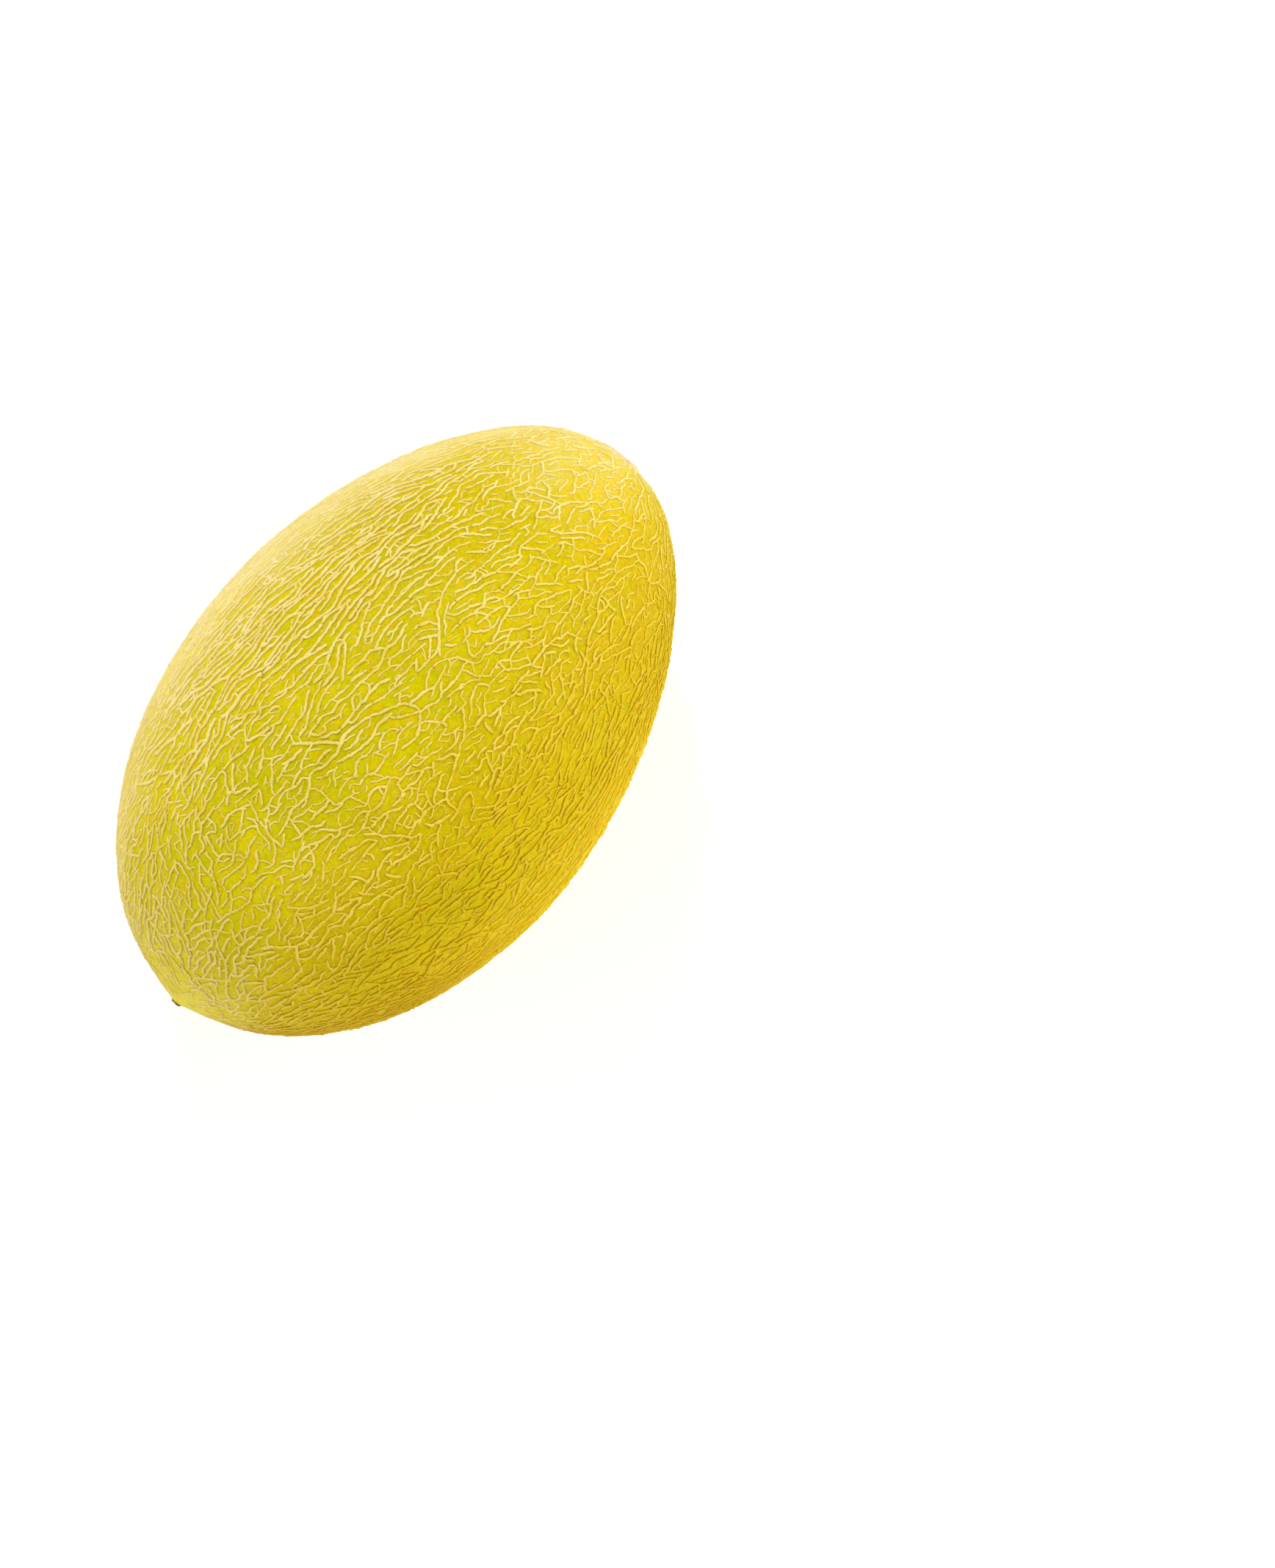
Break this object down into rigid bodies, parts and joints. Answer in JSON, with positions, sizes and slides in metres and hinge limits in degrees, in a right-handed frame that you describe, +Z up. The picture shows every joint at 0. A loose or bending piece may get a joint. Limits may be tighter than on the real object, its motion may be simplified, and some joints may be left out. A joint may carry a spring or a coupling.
{
  "type": "melon",
  "caption": "Whole egg-shaped netted melon, lying on its side on a small flat spot, with a corky stem scar and a dry blossom stub.",
  "frame": {"origin": "under the middle of the melon's box, on the surface that it lies on", "axes": "+X along the long axis, from the blossom end to the stem end; +Z up, away from the ground spot"},
  "size_m": [0.1878, 0.1198, 0.1198],
  "materials": {
    "rind": "satin yellow-green skin",
    "netting": "dry raised cork, matte",
    "stub": "dry brown, matte"
  },
  "bodies": {
    "root": {"melon": "rind"}
  },
  "joints": []
}
